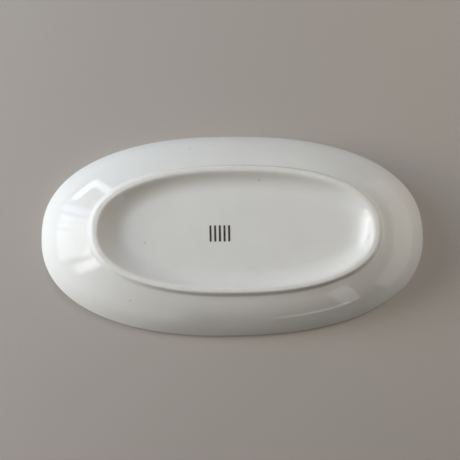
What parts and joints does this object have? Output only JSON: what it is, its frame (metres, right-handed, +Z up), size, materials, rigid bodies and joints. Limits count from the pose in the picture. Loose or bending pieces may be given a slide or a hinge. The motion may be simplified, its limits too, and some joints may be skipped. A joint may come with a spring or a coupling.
{
  "type": "oval plate",
  "caption": "Long oval stoneware plate with a raised curved rim, a flat well and a glazed recess inside an oval foot ring.",
  "frame": {"origin": "middle of the foot ring, on the surface that the plate stands on", "axes": "+Z up out of the eating face, +X along the plate's length, +Y across its width"},
  "size_m": [0.24, 0.126, 0.025],
  "materials": {
    "clay": "dry fired clay, matt off-white",
    "glaze": "glossy white glaze",
    "ink": "fired dark ink, satin"
  },
  "bodies": {
    "root": {"clay_body": "clay", "outer_glaze": "glaze", "recess_glaze": "glaze", "tally_stroke_1": "ink", "tally_stroke_2": "ink", "tally_stroke_3": "ink", "tally_stroke_4": "ink", "tally_stroke_5": "ink"}
  },
  "joints": []
}
